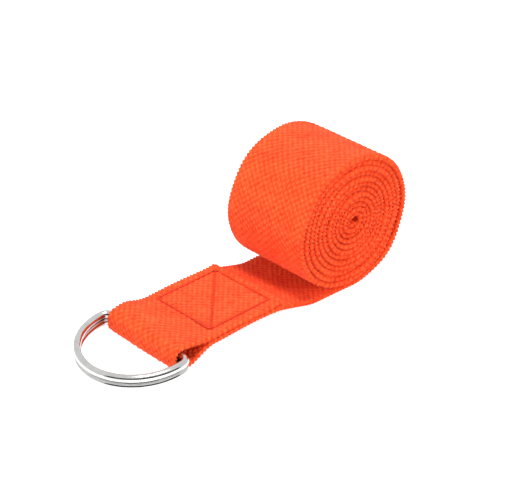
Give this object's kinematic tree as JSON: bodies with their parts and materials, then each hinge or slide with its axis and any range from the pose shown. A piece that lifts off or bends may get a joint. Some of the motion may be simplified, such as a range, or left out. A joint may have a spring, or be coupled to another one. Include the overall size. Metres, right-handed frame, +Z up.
{
  "type": "stretching strap",
  "caption": "Rolled cotton webbing strap with two D-rings held in a folded, box-stitched loop at one end.",
  "frame": {"origin": "on the flat underside of the strap, below the middle of the roll, midway across the width", "axes": "X along the strap with the D-rings at -X, Y across the webbing's width and along the roll's axis, +Z up from the surface that the strap lies on"},
  "size_m": [0.1482, 0.0496, 0.058],
  "materials": {
    "webbing": "woven cotton, matt",
    "thread": "twisted sewing thread",
    "ring_metal": "polished plating"
  },
  "bodies": {
    "roll": {"webbing_roll": "webbing", "webbing_tail": "webbing"},
    "sewn_end": {"webbing_lap": "webbing", "webbing_flap": "webbing", "webbing_loop": "webbing", "needle_thread": "thread", "bobbin_thread": "thread"},
    "upper_ring": {"d_ring_upper": "ring_metal"},
    "lower_ring": {"d_ring_lower": "ring_metal"}
  },
  "joints": [
    {"name": "tail_flex", "type": "hinge", "parent": "roll", "child": "sewn_end", "pos_m": [-0.023, 0, 0.00293], "axis": [0, 1, 0], "range_deg": [0, 50]},
    {"name": "upper_ring_swing", "type": "hinge", "parent": "sewn_end", "child": "upper_ring", "pos_m": [-0.089, 0, 0.007], "axis": [0, 1, 0], "range_deg": [0, 165]},
    {"name": "lower_ring_swing", "type": "hinge", "parent": "sewn_end", "child": "lower_ring", "pos_m": [-0.089, 0, 0.0037], "axis": [0, 1, 0], "range_deg": [-150, 0]}
  ]
}
